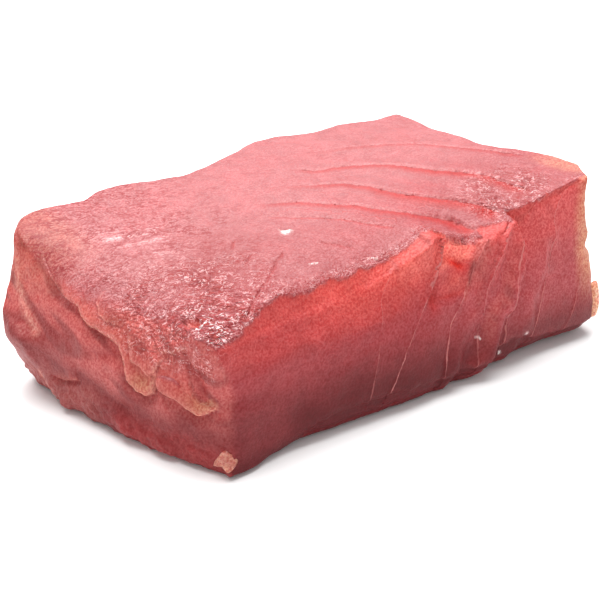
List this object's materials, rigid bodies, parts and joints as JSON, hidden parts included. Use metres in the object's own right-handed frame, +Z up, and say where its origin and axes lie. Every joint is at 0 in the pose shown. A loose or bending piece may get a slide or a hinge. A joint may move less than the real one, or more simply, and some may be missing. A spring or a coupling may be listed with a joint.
{
  "type": "raw tuna steak",
  "caption": "Thick raw tuna steak, a slab of cut muscle with seams between its layers, a torn notch in one side and flaked layers hanging over one end.",
  "frame": {"origin": "middle of the bounding box in plan, on the surface the steak lies on", "axes": "+X along the steak, away from its flaked end; +Y across it, away from the long side with the torn notch; +Z up through its thickness"},
  "size_m": [0.118, 0.0834, 0.0355],
  "materials": {
    "flesh": "moist raw tuna flesh, pink to coral red, with a wet sheen"
  },
  "bodies": {
    "root": {"tuna_steak": "flesh"}
  },
  "joints": []
}
